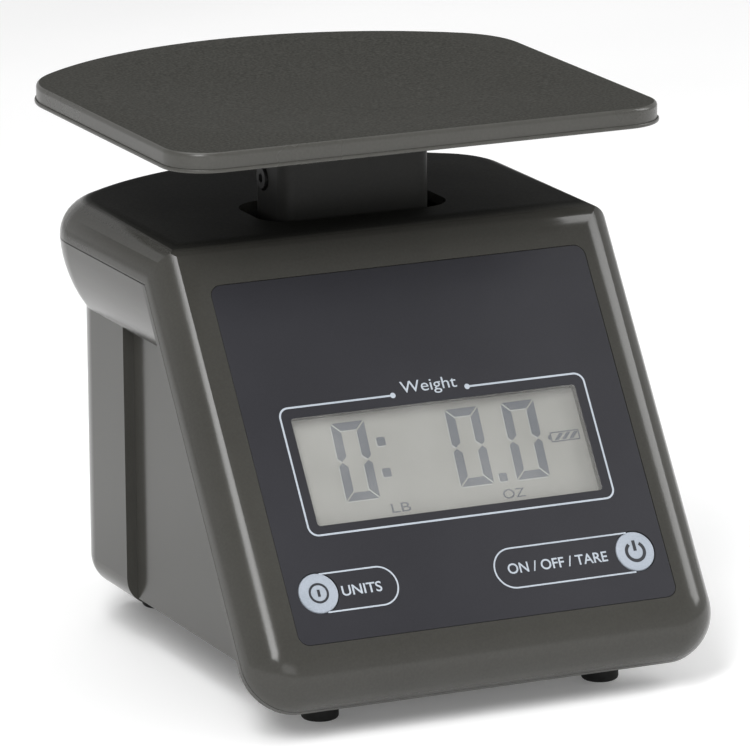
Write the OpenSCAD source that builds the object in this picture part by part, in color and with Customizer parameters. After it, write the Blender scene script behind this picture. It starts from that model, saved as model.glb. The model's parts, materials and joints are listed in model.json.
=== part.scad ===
// Small digital postal scale: a dished weighing platform on a post, above a wedge-shaped
// body with a display, two keys and a battery. Built around x = 0, standing on z = 0.

/* [Body] */
// Width of the body across its widest edges
body_w = 132; // [126:1:160]
// Height of the top of the body above the table
body_h = 116.4; // [114:0.2:145]
// Distance from the foot of the sloping face to the back of the body
body_back = 178.5; // [172:0.5:215]
// Lean of the front face, measured from vertical
face_angle = 34.3; // [33:0.1:35.5]
// Height of the lower edge of the face, measured along its slope
face_bottom = 17; // [15:0.5:20]
// Radius of the rounded edges around the face
face_edge_r = 11; // [8:0.5:11]
// Radius of the two lower corners of the face, seen square on
face_corner_r = 13.5; // [12:0.5:18]
// Radius where the face turns into the top
brow_r = 13; // [8:0.5:16]
// Radius of the edge around the top
top_edge_r = 10; // [6:0.5:10]
// Radius of the two rear corners, seen from above
rear_corner_r = 25; // [18:1:30]
// Radius of the bowed back, seen from above
back_r = 90; // [80:1:120]
// Wall of the front cover
cover_wall = 2.6; // [2:0.1:3]
// Depth of the front cover behind the face
cover_depth = 11; // [11:0.5:14]
// Height of the rim of the cover below its top
cover_rim = 10.1; // [10.1:0.1:14]
// Width of the fine groove between the front cover and the rear housing
seam = 0.25; // [0.1:0.05:0.5]

/* [Rear housing] */
// Wall of the rear housing
housing_wall = 2.2; // [1.8:0.1:2.8]
// Thickness of the raised band behind the front cover
band_t = 2; // [1.5:0.1:3]
// Radius of the curved shoulder under the top cover, in section
shoulder_r = 36; // [34:1:60]
// Height of the curved shoulder
shoulder_h = 19; // [14:0.5:20]
// Height of the centre of the shoulder's curve above the rim of the cover
shoulder_rise = 2; // [0:0.5:4]
// Depth of the upright column at the back
column_depth = 61; // [50:1:66]
// Height of the underside of the column
column_bottom = 11; // [10.5:0.1:12]
// Radius of the lower edge of the column
column_edge_r = 7.5; // [4:0.5:9]
// Distance from the side panels in to the widest edges
panel_inset = 9.6; // [9.2:0.1:12]
// Height of the lower edge of the side panels
panel_bottom = 13.1; // [12.6:0.1:14]

/* [Platform] */
// Width of the weighing platform
platform_w = 140; // [120:1:180]
// Depth of the weighing platform
platform_d = 134.5; // [120:0.5:165]
// Height of the rim of the platform
rim_h = 5.2; // [4.5:0.1:8]
// Gap between the top of the body and the rim of the platform
platform_gap = 25.3; // [18:0.1:40]
// Depth of the dish in the middle of the platform
dish_depth = 2.4; // [1:0.1:3]
// Thickness of the platform
platform_t = 2.6; // [2:0.1:3]
// Radius of the front corners of the platform
platform_front_r = 12.5; // [8:0.5:25]
// Radius of the rear corners of the platform
platform_rear_r = 25; // [18:1:35]
// Radius of the bowed back of the platform
platform_back_r = 95; // [85:1:140]
// Distance from the middle of the post to the back of the platform
platform_behind = 78.5; // [70:0.5:90]
// How far the platform sinks before the overload stop takes the load
platform_travel = 0.8; // [0.4:0.1:1.2]

/* [Post] */
// Width of the post under the platform
post_w = 43; // [36:0.5:50]
// Depth of the post, front to back
post_d = 20; // [19:0.5:24]
// Radius of the upright edges of the post
post_r = 4; // [2:0.5:6]
// Wall of the post
post_wall = 2.4; // [2:0.1:3]
// Distance from the back of the body to the middle of the post
post_from_back = 70.5; // [64:0.5:80]
// Clear space between the post and its opening, at the sides
opening_gap_x = 5.5; // [3:0.5:8]
// Clear space between the post and its opening, front and back
opening_gap_y = 3.6; // [2:0.1:5]
// Diameter of the recess for each screw in the side of the post
recess_d = 7; // [6.4:0.1:9]

/* [Load cell] */
// Length of the aluminium beam
cell_l = 76; // [70:1:90]
// Width and height of the aluminium beam
cell_w = 12.7; // [10:0.1:15]
// Height of the underside of the beam above the table
cell_z = 33; // [32.5:0.5:40]
// Diameter of the two joined holes through the beam
cell_hole_d = 9; // [6:0.5:9.5]
// Distance between the two joined holes
cell_hole_gap = 11; // [10:0.5:16]
// Thickness of the spacer plate under the fixed end
spacer_t = 2; // [1:0.5:3]

/* [Face] */
// Width of the printed overlay
overlay_w = 106.7; // [100:0.1:107.5]
// Length of the printed overlay, along the slope
overlay_l = 98.8; // [96:0.1:100]
// Distance from the lower edge of the face to the overlay
overlay_up = 13.9; // [13:0.1:15]
// Thickness of the overlay
overlay_t = 0.4; // [0.3:0.05:0.5]
// Depth of the recess that the overlay lies in
overlay_recess = 0.5; // [0.5:0.05:0.8]
// Width of the display window
window_w = 80.8; // [70:0.2:84]
// Height of the display window, along the slope
window_l = 29.5; // [24:0.5:32]
// Distance from the lower edge of the overlay to the display window
window_up = 31.1; // [28:0.1:34]
// Thickness of the clear display window
window_t = 1; // [0.8:0.1:1.2]
// Diameter of the two keys
key_d = 10.84; // [9:0.02:12]
// Distance from the middle of the face to each key
key_x = 44.85; // [40:0.05:45.5]
// Distance from the lower edge of the overlay to the keys
key_up = 13.4; // [11:0.1:15]
// How far a key goes in
key_travel = 0.4; // [0.2:0.05:0.4]
// Gap around each key
key_gap = 0.2; // [0.1:0.05:0.4]

/* [Electronics] */
// Width of the circuit board
board_w = 104; // [102:1:108]
// Length of the circuit board, along the slope
board_l = 64; // [62:1:68]
// Thickness of the circuit board
board_t = 1.6; // [1:0.2:2]
// Depth of the front of the circuit board behind the face
board_w0 = 7.6; // [7.6:0.1:9]
// Thickness of the display glass
glass_t = 2.8; // [2:0.1:3]
// Depth of the front of the display glass behind the face
glass_w0 = 3.1; // [3:0.1:3.4]
// How far the display glass reaches past the window on each side
glass_margin = 3; // [2:0.5:3.5]

/* [Base and battery] */
// Width of the base plate
base_w = 94; // [90:1:98]
// Height of the underside of the base plate
base_z = 8; // [6:0.5:8.5]
// Thickness of the base plate
base_t = 2.4; // [2:0.1:2.6]
// Diameter of the rubber feet
foot_d = 9.8; // [8:0.2:14]
// Distance from the middle to each front foot
front_foot_x = 40; // [34:0.5:41]
// Distance from the middle to each rear foot
rear_foot_x = 36; // [35.5:0.5:38]
// Length of the battery, with its terminals
battery_l = 48.5; // [46:0.5:50]
// Width of the battery
battery_w = 26.5; // [25:0.5:27]
// Thickness of the battery
battery_t = 17.5; // [16:0.5:17.5]
// How far the battery door slides before it lifts off
door_travel = 12; // [6:1:14]
// Thickness of the battery door
door_t = 2; // [1.6:0.1:2.1]

/* [Hidden] */
$fn = 48;

far = 300;          // reach of the blocks that only cut
cut = 0.5;          // how far a cutting shape runs past the face that it cuts
loose = 0.15;       // clearance between pieces that drop into each other
touch = 0.02;       // gap between pieces that rest on each other
bow_lap = 0.1;      // the corners stand this little out of the bowed back that they join

// the face plane leans back from the line y = 0, z = 0
lean_sin = sin(face_angle);
lean_cos = cos(face_angle);
function face_point(u, v, w) = [u, v * lean_sin + w * lean_cos, v * lean_cos - w * lean_sin];
function face_y(z, w) = (w + z * lean_sin) / lean_cos;

half_w = body_w / 2;
rim_z = body_h - cover_rim;
front_reach = face_point(0, face_bottom + face_edge_r, face_edge_r)[1] - face_edge_r;
post_y = body_back - post_from_back;
platform_back = post_y + platform_behind;
platform_front = platform_back - platform_d;
mid_y = (front_reach + max(platform_back, body_back)) / 2;
rim_bottom = body_h + platform_gap;
platform_top = rim_bottom + rim_h;
dish_reach = min(platform_w / 2, platform_d / 2) - 4;
dish_r = (dish_reach * dish_reach + dish_depth * dish_depth) / (2 * dish_depth);
dish_y = (platform_front + platform_back) / 2;
dish_z = platform_top - dish_depth + dish_r;
plate_bottom = platform_top - dish_depth - platform_t;

band_w = cover_depth + band_t;
curve_reach = sqrt(shoulder_r * shoulder_r - shoulder_rise * shoulder_rise);
waist_reach = sqrt(shoulder_r * shoulder_r - pow(shoulder_rise + shoulder_h, 2));
waist_in = curve_reach - waist_reach;
waist_z = rim_z - shoulder_h;
column_front = body_back - column_depth;
panel_half = half_w - panel_inset;

overlay_v = face_bottom + overlay_up;
window_v = overlay_v + window_up;
key_v = overlay_v + key_up;
window_mid_v = window_v + window_l / 2;
overlay_w0 = overlay_recess - overlay_t;
overlay_corner_r = 3;
window_corner_r = 0.8;

glass_w = window_w + 2 * glass_margin;
glass_l = window_l + 2 * glass_margin;
frame_wall = 1.6;
strip_h = board_w0 - glass_w0 - glass_t;
strip_w = 1.8;
board_v = overlay_v + 5;
board_back = board_w0 + board_t;
board_hole_x = board_w / 2 - 2.7;
board_hole_v = [board_v + 18, board_v + board_l - 4];
board_corner_r = 4.5;
board_boss_d = 5;
board_pilot_d = 2;
board_screw_d = 1.95;

key_face_w = overlay_w0;
key_collar_w = cover_wall + 0.3;
key_collar_t = 1.2;
key_collar_d = key_d + 2.2;
key_stalk_d = 4;
dome_d = 8;
dome_h = 0.6;
key_end_w = board_w0 - dome_h - key_travel - 0.1;

base_set_front = 6;      // from the band's foot to the front of the base plate
base_set_back = 18.5;    // from the back of the body to the back of the base plate
base_front = face_y(base_z, band_w) + base_set_front;
base_back = body_back - base_set_back;
base_half = base_w / 2;
base_top = base_z + base_t;
base_corner_r = 6;
tray_wall = 2.4;
floor_rim = [10.5, 8, 3.5];   // rim of the housing's floor at the sides, the front and the back
hole_half = base_half - floor_rim[0];
floor_front = base_front + floor_rim[1];
floor_back = base_back - floor_rim[2];
foot_depth = 1.4;
foot_margin = 9;
foot_edge_r = 1;
front_foot_y = base_front + foot_margin;
rear_foot_y = base_back - foot_margin;
screw_from_foot = 19;
base_screw_x = base_half - 5.5;
base_screw_y = [front_foot_y + screw_from_foot, rear_foot_y - screw_from_foot];
base_screw_sink = 2;
base_boss_d = 6.4;
base_boss_h = 7;
base_pad_d = 7.5;

pad_top = cell_z - spacer_t;
cell_top = cell_z + cell_w;
cell_behind_post = 20;   // from the middle of the post to the free end of the beam
cell_flex = 23;          // from the middle of the post to the middle of the joined holes
cell_front = post_y - cell_l + cell_behind_post;
cell_mid = post_y - cell_flex;
base_hole_y = [cell_front + 6, cell_front + 16];
top_hole_y = [post_y - 4.5, post_y + 4.5];
cell_base_d = 4;
cell_base_sink = 4;
cell_head_d = 7;
cell_top_d = 3;
cell_slot_h = 3;
gauge_size = [5, 7, 0.3];
spacer_l = 22;
pad_half = 13;
pad_margin = 2;

post_foot_t = 4;
post_top = plate_bottom - touch;
post_seat = 2;           // ledge of the platform around the top of the post
tongue_h = 22;
tongue_wall = [9, 2];    // walls of the hollow tongue at its sides and at its front and back
post_screw_up = 8.6;
post_screw_z = body_h + post_screw_up;
post_screw_y = post_y + 3;
stop_d = 4;
stop_boss_d = 9;
stop_key_d = 2.2;

snap_l = 6;
snap_half = 12;          // half the width of the snap
snap_half_h = 6;
terminal_y = 6.35;
terminal_d = [6.8, 5.6];
terminal_h = 3;
snap_hole_d = 7.2;
bay_play = 1;
bay_l = battery_l + snap_l + bay_play;
bay_w = battery_w + bay_play;
bay_y = body_back - 38.5;
bay_wall = 1.6;
battery_z = base_top + 0.8;
bay_top = battery_z + battery_t + 0.4;
battery_x = -bay_l / 2 + bay_play / 2;
door_lip = 1.4;
door_half = bay_l / 2 + door_lip;
door_front = bay_y - bay_w / 2 - 2;
door_play = 0.3;
grip_half = 9;
door_sink = 0.1;         // the door lies this little above the underside of the base plate
door_step = 1;           // height of the door's side lips above its underside
lead_exit_z = base_top + 8;
lead_hole_d = 5;

pillar_x = half_w - 22;
pillar_y = body_back - 34;
pillar_top = rim_z - 14;
pillar_d = 8.4;
pillar_bore = pillar_d - 2.4;
pillar_shelf = 3;
pillar_boss_d = 7;
tab_x = panel_half - housing_wall - 4;
tab_v = face_bottom + 16;
tab_t = 3;
tab_half = 3.5;
tab_root = 4.3;
tab_boss_d = 6.4;
case_screw_d = 3;
screw_play = 0.3;
head_d = 5.6;
head_h = 1.8;
cable_d = 2.4;
lead_d = 1.4;
column_overlap = 12;     // how far the side panels reach into the column
rim_flange = [8, 24, 4]; // rim under the cover: at the sides, at the back, and its thickness
socket_x = 26;
socket_v = board_v + 8;
socket_size = [11, 5, 6];
socket_wall = 0.8;
opening_r = 9;

body_color = [0.36, 0.36, 0.34];
platform_color = [0.33, 0.33, 0.31];
rubber_color = [0.08, 0.08, 0.08];
steel_color = [0.72, 0.72, 0.7];

// ---- frames and shared shapes ----

// moves the built object so that the origin is under the middle of its box
module placed() {
    translate([0, -mid_y, 0])
    children();
}

// local x and y run across and up the face, and local z points out of it
module on_face() {
    rotate([90 - face_angle, 0, 0])
    children();
}

// a rectangle with round corners, centred in x, from y = 0 upwards
module round_rect(w, l, r) {
    translate([-w / 2, r])
    square([w, l - 2 * r]);
    translate([-w / 2 + r, 0])
    square([w - 2 * r, l]);
    for (x = [-w / 2 + r, w / 2 - r], y = [r, l - r]) {
        translate([x, y])
        circle(r);
    }
}

// places along the bowed back: where each rear corner's circle is centred, and the angle
// from straight back at which the corner and the bow meet
function corner_x(half, rear_r) = half - rear_r;
function corner_y(half, back, rear_r, bow_r) =
    back - bow_r + sqrt(pow(bow_r - rear_r + bow_lap, 2) - pow(corner_x(half, rear_r), 2));
function bow_angle(half, back, rear_r, bow_r) =
    atan2(corner_x(half, rear_r), corner_y(half, back, rear_r, bow_r) - back + bow_r) + 0.5;

// plan outline with straight sides and front, round corners and a bowed back
module plan_outline(half, front, back, front_r, rear_r, bow_r) {
    x = corner_x(half, rear_r);
    y = corner_y(half, back, rear_r, bow_r);
    turn = bow_angle(half, back, rear_r, bow_r);
    translate([-half, front + front_r])
    square([2 * half, y - front - front_r]);
    translate([-half + front_r, front])
    square([2 * (half - front_r), y - front]);
    for (side = [-1, 1]) {
        translate([side * (half - front_r), front + front_r])
        circle(front_r, $fn = 96);
        translate([side * x, y])
        circle(rear_r, $fn = 96);
    }
    translate([0, back - bow_r])
    intersection() {
        circle(bow_r, $fn = 360);
        polygon([[0, 0], [far * sin(turn), far * cos(turn)],
                 [-far * sin(turn), far * cos(turn)]]);
    }
}

// sweeps a section along straight sides, round rear corners and a bowed back; the section
// is drawn in x from 0 to $reach, and in y as height
module swept(half, front, back, rear_r, bow_r) {
    x = corner_x(half, rear_r);
    y = corner_y(half, back, rear_r, bow_r);
    turn = bow_angle(half, back, rear_r, bow_r);
    for (side = [0, 1]) {
        mirror([side, 0, 0]) {
            translate([0, y, 0])
            rotate([90, 0, 0])
            linear_extrude(y - front) {
                $reach = half;
                children();
            }
            translate([x, y, 0])
            rotate_extrude(angle = 90, $fn = 96) {
                $reach = rear_r;
                children();
            }
        }
    }
    translate([0, back - bow_r, 0])
    rotate([0, 0, 90 - turn])
    rotate_extrude(angle = 2 * turn, $fn = 180) {
        $reach = bow_r;
        children();
    }
}

// a quarter of a disc, in the positive corner
module quarter(r) {
    intersection() {
        circle(r, $fn = 96);
        square(r);
    }
}

// a section from the axis out to $reach, with its upper edge rounded
module edge_section(low, high, inset, r) {
    reach = $reach - inset;
    translate([0, low])
    square([reach, high - low - r]);
    translate([0, low])
    square([reach - r, high - low]);
    translate([reach - r, high - r])
    quarter(r);
}

// the space under the top of the body, drawn in by an inset
module under_top(inset) {
    swept(half_w, -40, body_back, rear_corner_r, back_r)
    edge_section(-30, body_h - inset, inset, top_edge_r - inset);
}

// the space behind the face, with its rounded side and lower edges, drawn in by an inset
module behind_face(inset) {
    half = half_w - inset;
    r = face_edge_r - inset;
    corner = face_corner_r - inset;
    low = face_bottom + inset;
    on_face() {
        for (side = [0, 1]) {
            mirror([side, 0, 0]) {
                translate([0, low + corner, 0])
                rotate([90, 0, 180])
                mirror([1, 0, 0])
                linear_extrude(far) {
                    $reach = half;
                    edge_section(-far, -inset, 0, r);
                }
                translate([half - corner, low + corner, 0])
                rotate([0, 0, -90])
                rotate_extrude(angle = 90, $fn = 96) {
                    $reach = corner;
                    edge_section(-far, -inset, 0, r);
                }
            }
        }
        translate([half - corner, low + corner, 0])
        rotate([90, 0, -90])
        linear_extrude(2 * (half - corner)) {
            $reach = corner;
            edge_section(-far, -inset, 0, r);
        }
    }
}

// side view of everything behind and below the rounded brow, drawn in by an inset
module under_brow(inset) {
    top = body_h - inset;
    r = brow_r - inset;
    centre_z = top - r;
    centre_y = face_y(centre_z, inset + r);
    rotate([90, 0, 90])
    translate([0, 0, -far / 2])
    linear_extrude(far) {
        polygon([[face_y(-40, inset), -40],
                 [centre_y - r * lean_cos, centre_z + r * lean_sin],
                 [centre_y, centre_z],
                 [centre_y, top],
                 [far, top],
                 [far, -40]]);
        translate([centre_y, centre_z])
        circle(r, $fn = 96);
    }
}

// the whole body as one smooth form, drawn in by an inset
module body_form(inset) {
    intersection() {
        behind_face(inset);
        under_top(inset);
        under_brow(inset);
    }
}

// side view of the region in front of a plane parallel to the face, and above a height
module ahead_of(w, z) {
    rotate([90, 0, 90])
    translate([0, 0, -far / 2])
    linear_extrude(far)
    polygon([[-far / 4, -40], [face_y(-40, w), -40], [face_y(z, w), z],
             [far, z], [far, far], [-far / 4, far]]);
}

// side view of the region behind a plane parallel to the face
module behind_plane(w) {
    rotate([90, 0, 90])
    translate([0, 0, -far / 2])
    linear_extrude(far)
    polygon([[face_y(-40, w), -40], [face_y(far, w), far], [far * 2, far], [far * 2, -40]]);
}

module block(x0, x1, y0, y1, z0, z1) {
    translate([x0, y0, z0])
    cube([x1 - x0, y1 - y0, z1 - z0]);
}

// a pan-head screw that points up from the underside of its head
module screw(d, l, head_d, head_h) {
    translate([0, 0, -head_h])
    difference() {
        cylinder(d = head_d, h = head_h);
        translate([0, 0, -cut])
        cylinder(d = d * 0.9, h = head_h * 0.5 + cut, $fn = 6);
    }
    cylinder(d = d, h = l);
}

// a point on the smooth curve through four points, between the second and the third
function on_curve(a, b, c, d, t) =
    0.5 * (2 * b + (c - a) * t + (2 * a - 5 * b + 4 * c - d) * t * t
           + (3 * b - a - 3 * c + d) * t * t * t);

// a smooth route through a list of points
function smooth(points, steps) =
    let (last = len(points) - 1)
    [for (i = [0 : last - 1], k = [0 : steps - 1])
         on_curve(points[max(i - 1, 0)], points[i], points[i + 1],
                  points[min(i + 2, last)], k / steps),
     points[last]];

function unit(v) = v / norm(v);

function heading(path, i) =
    unit(path[min(i + 1, len(path) - 1)] - path[max(i - 1, 0)]);

// the side direction of each ring, turned as little as possible from the one before
function side_ways(path, i, side) =
    let (along = heading(path, i), now = unit(side - along * (side * along)))
    i == len(path) - 1 ? [now] : concat([now], side_ways(path, i + 1, now));

// a round wire along a smooth route
module wire(points, d) {
    sides = 8;
    path = smooth(points, 5);
    ways = side_ways(path, 0, [0.3, 0.9, 0.2]);
    rings = len(path);
    ring_points = [for (i = [0 : rings - 1], k = [0 : sides - 1])
        let (up = cross(heading(path, i), ways[i]), turn = 360 * k / sides)
        path[i] + d / 2 * (ways[i] * cos(turn) + up * sin(turn))];
    walls = [for (i = [0 : rings - 2], k = [0 : sides - 1])
        let (next = (k + 1) % sides)
        [i * sides + k, (i + 1) * sides + k, (i + 1) * sides + next, i * sides + next]];
    start = [for (k = [0 : sides - 1]) k];
    end = [for (k = [sides - 1 : -1 : 0]) (rings - 1) * sides + k];
    polyhedron(ring_points, concat([start], walls, [end]));
}

// ---- weighing side ----

// plan of the platform, drawn in by an inset
module platform_outline(inset) {
    plan_outline(platform_w / 2 - inset, platform_front + inset, platform_back - inset,
                 platform_front_r - inset, platform_rear_r - inset, platform_back_r - inset);
}

// the round space above the dish, or above a surface that lies a little lower
module dish_space(lower) {
    translate([0, dish_y, 0])
    rotate_extrude($fn = 180)
    intersection() {
        translate([0, dish_z])
        circle(dish_r + lower, $fn = 3600);
        translate([0, plate_bottom - 2])
        square([platform_w, far / 2]);
    }
}

module platform() {
    tongue_w = post_w - 2 * post_wall - 2 * loose;
    tongue_d = post_d - 2 * post_wall - 2 * loose;
    color(platform_color)
    placed() {
        difference() {
            translate([0, 0, rim_bottom])
            linear_extrude(rim_h)
            platform_outline(0);
            dish_space(0);
            difference() {
                translate([0, 0, rim_bottom - cut])
                linear_extrude(rim_h - platform_t + cut)
                platform_outline(platform_t);
                dish_space(platform_t);
                block(-post_w / 2 - post_seat, post_w / 2 + post_seat,
                      post_y - post_d / 2 - post_seat, post_y + post_d / 2 + post_seat,
                      plate_bottom, platform_top);
            }
        }
        difference() {
            translate([0, post_y - tongue_d / 2, plate_bottom - tongue_h])
            linear_extrude(tongue_h + 0.4)
            round_rect(tongue_w, tongue_d, post_r - post_wall);
            block(-tongue_w / 2 + tongue_wall[0], tongue_w / 2 - tongue_wall[0],
                  post_y - tongue_d / 2 + tongue_wall[1], post_y + tongue_d / 2 - tongue_wall[1],
                  plate_bottom - tongue_h - cut, plate_bottom);
            translate([-far / 2, post_screw_y, post_screw_z])
            rotate([0, 90, 0])
            cylinder(d = case_screw_d, h = far);
        }
    }
}

module post() {
    post_l = post_top - cell_top;
    color(platform_color)
    placed()
    difference() {
        translate([0, post_y - post_d / 2, cell_top + touch])
        linear_extrude(post_l - touch)
        round_rect(post_w, post_d, post_r);
        translate([0, post_y - post_d / 2 + post_wall, cell_top + post_foot_t])
        linear_extrude(post_l)
        round_rect(post_w - 2 * post_wall, post_d - 2 * post_wall, post_r - post_wall);
        for (y = top_hole_y) {
            translate([0, y, cell_top - cut])
            cylinder(d = cell_top_d + 2 * loose, h = post_foot_t + 2 * cut);
        }
        for (side = [-1, 1]) {
            translate([side * post_w / 2, post_screw_y, post_screw_z])
            rotate([0, -side * 90, 0]) {
                translate([0, 0, -cut])
                cylinder(d = recess_d, h = cut + post_wall / 2);
                cylinder(d = case_screw_d + 2 * loose, h = post_wall + cut);
            }
        }
    }
}

module post_screws() {
    color(steel_color)
    placed()
    for (side = [-1, 1]) {
        translate([side * (post_w / 2 - post_wall / 2 + touch), post_screw_y, post_screw_z])
        rotate([0, -side * 90, 0])
        screw(case_screw_d - 2 * touch, 9, head_d, head_h);
    }
}

module cell_top_screws() {
    color(steel_color)
    placed()
    for (y = top_hole_y) {
        translate([0, y, cell_top + post_foot_t + touch])
        rotate([180, 0, 0])
        screw(cell_top_d - 2 * touch, post_foot_t + 8, 5.4, 2);
    }
}

module load_cell() {
    color("silver")
    placed()
    difference() {
        block(-cell_w / 2, cell_w / 2, cell_front, cell_front + cell_l, cell_z, cell_top);
        for (side = [-1, 1]) {
            translate([-cell_w, cell_mid + side * cell_hole_gap / 2, cell_z + cell_w / 2])
            rotate([0, 90, 0])
            cylinder(d = cell_hole_d, h = 2 * cell_w);
        }
        block(-cell_w, cell_w, cell_mid - cell_hole_gap / 2, cell_mid + cell_hole_gap / 2,
              cell_z + (cell_w - cell_slot_h) / 2, cell_z + (cell_w + cell_slot_h) / 2);
        for (y = top_hole_y) {
            translate([0, y, cell_z + 2])
            cylinder(d = cell_top_d + 0.1, h = cell_w);
        }
        for (y = base_hole_y) {
            translate([0, y, cell_z - cut])
            cylinder(d = cell_base_d + 0.1, h = cell_w - 2);
        }
    }
}

module strain_gauges() {
    color("goldenrod")
    placed()
    for (side = [-1, 1], z = [cell_z - gauge_size[2] - touch, cell_top + touch]) {
        translate([-gauge_size[0] / 2,
                   cell_mid + side * cell_hole_gap / 2 - gauge_size[1] / 2, z])
        cube(gauge_size);
    }
}

module cell_spacer() {
    color("silver")
    placed()
    difference() {
        block(-cell_w / 2, cell_w / 2, cell_front, cell_front + spacer_l, pad_top + touch,
              cell_z - touch);
        for (y = base_hole_y) {
            translate([0, y, pad_top - cut])
            cylinder(d = cell_base_d + 2 * loose, h = spacer_t + 2 * cut);
        }
    }
}

module cell_base_screws() {
    color(steel_color)
    placed()
    for (y = base_hole_y) {
        translate([0, y, base_z + cell_base_sink - touch])
        screw(cell_base_d - 2 * touch, cell_z - base_z + 4, cell_head_d, 2.6);
    }
}

module overload_stop() {
    stop_top = cell_z - platform_travel - 0.1;
    color(steel_color)
    placed()
    difference() {
        translate([0, post_y, base_z + 2])
        cylinder(d = stop_d - 2 * touch, h = stop_top - base_z - 2);
        translate([0, post_y, base_z + 2 - cut])
        cylinder(d = stop_key_d, h = 2 + cut, $fn = 6);
    }
}

// ---- casing ----

module front_cover() {
    color(body_color)
    placed() {
        difference() {
            intersection() {
                body_form(0);
                ahead_of(cover_depth, rim_z);
            }
            body_form(cover_wall);
            cover_openings();
        }
        cover_bosses();
    }
}

module cover_openings() {
    opening_w = post_w + 2 * opening_gap_x;
    opening_d = post_d + 2 * opening_gap_y;
    translate([0, post_y - opening_d / 2, body_h - far / 2])
    linear_extrude(far)
    round_rect(opening_w, opening_d, opening_r);
    on_face() {
        translate([0, overlay_v - loose, -overlay_recess])
        linear_extrude(far)
        round_rect(overlay_w + 2 * loose, overlay_l + 2 * loose, overlay_corner_r + loose);
        translate([0, window_v - loose, -cover_wall - cut])
        linear_extrude(far)
        round_rect(window_w + 2 * loose, window_l + 2 * loose, window_corner_r + loose);
        for (side = [-1, 1]) {
            translate([side * key_x, key_v, -cover_wall - cut])
            cylinder(d = key_d + 2 * key_gap, h = far);
        }
    }
}

// bosses behind the face and under the top, each with a pilot hole
module cover_bosses() {
    on_face() {
        for (side = [-1, 1]) {
            for (v = board_hole_v) {
                translate([side * board_hole_x, v, -board_w0 + touch])
                pilot_boss(board_boss_d, board_w0 - cover_wall + 0.3, board_pilot_d);
            }
            translate([side * tab_x, tab_v, -cover_depth - seam + 0.1])
            pilot_boss(tab_boss_d, cover_depth - cover_wall + 0.2, case_screw_d);
        }
    }
    for (side = [-1, 1]) {
        translate([side * pillar_x, pillar_y, pillar_top + touch])
        pilot_boss(pillar_boss_d, body_h - cover_wall - pillar_top + 0.3, case_screw_d);
    }
}

// a boss that stands up from its open end, which is at z = 0
module pilot_boss(d, h, pilot) {
    difference() {
        cylinder(d = d, h = h);
        translate([0, 0, -cut])
        cylinder(d = pilot, h = min(h - 0.5, 12) + cut);
    }
}

// section of the curved shoulder under the rim, drawn in by an inset
module shoulder_section(inset) {
    top = rim_z - seam;
    intersection() {
        translate([$reach - curve_reach, rim_z + shoulder_rise])
        circle(shoulder_r - inset, $fn = 180);
        translate([0, waist_z])
        square([$reach - inset, top - waist_z]);
    }
    translate([0, waist_z])
    square([max($reach - curve_reach, 0.1), top - waist_z]);
}

module shoulder(inset) {
    swept(half_w, 20, body_back, rear_corner_r, back_r)
    shoulder_section(inset);
}

// the upright walls of the column between two heights, drawn in by an inset
module column_walls(inset, z0, z1) {
    in = waist_in + inset;
    translate([0, 0, z0])
    linear_extrude(z1 - z0)
    plan_outline(half_w - in, 20, body_back - in, 2, rear_corner_r - in, back_r - in);
}

// the rounded lower edge of the column
module column_foot() {
    swept(half_w - waist_in, 20, body_back - waist_in, rear_corner_r - waist_in,
          back_r - waist_in) {
        translate([0, column_bottom])
        square([$reach - column_edge_r, column_edge_r]);
        translate([$reach - column_edge_r, column_bottom + column_edge_r])
        mirror([0, 1])
        quarter(column_edge_r);
    }
}

// outside of the rear housing behind its front band
module housing_outside() {
    intersection() {
        union() {
            shoulder(0);
            column_walls(-touch, column_bottom + column_edge_r, waist_z + 2);
            column_foot();
        }
        union() {
            block(-far / 2, far / 2, column_front, far, -cut, far);
            block(-far / 2, far / 2, 0, far, waist_z, far);
        }
        behind_plane(band_w - cut);
    }
    intersection() {
        block(-panel_half, panel_half, 0, column_front + column_overlap, panel_bottom,
              rim_z - seam);
        behind_plane(band_w - cut);
    }
}

module housing_inside() {
    wall = housing_wall;
    foot_top = column_bottom + column_edge_r;
    intersection() {
        union() {
            shoulder(wall);
            column_walls(wall, foot_top, waist_z + 2);
            column_walls(wall + 3, column_bottom + wall, foot_top + 1);
        }
        union() {
            block(-far / 2, far / 2, column_front + wall, far, -cut, far);
            block(-far / 2, far / 2, 0, far, waist_z + wall, far);
        }
        behind_plane(band_w + 1);
    }
    block(-panel_half + wall, panel_half - wall, 0, column_front + column_overlap,
          panel_bottom + wall, far);
    block(-half_w + rim_flange[0], half_w - rim_flange[0], column_front / 2,
          body_back - rim_flange[1], rim_z - rim_flange[2], far);
    block(-hole_half, hole_half, floor_front, floor_back, 0, far);
    for (side = [-1, 1]) {
        translate([side * pillar_x, pillar_y, 0])
        cylinder(d = pillar_bore, h = far / 4);
        for (y = base_screw_y) {
            translate([side * base_screw_x, y, 0])
            cylinder(d = case_screw_d, h = far / 4);
        }
    }
}

module rear_housing() {
    color(body_color)
    placed() {
        difference() {
            union() {
                housing_outside();
                intersection() {
                    body_form(0);
                    ahead_of(band_w, far / 2);
                    behind_plane(cover_depth + seam);
                    block(-far / 2, far / 2, 0, far, 0, rim_z - seam);
                }
            }
            housing_inside();
        }
        housing_bosses();
    }
}

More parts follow.
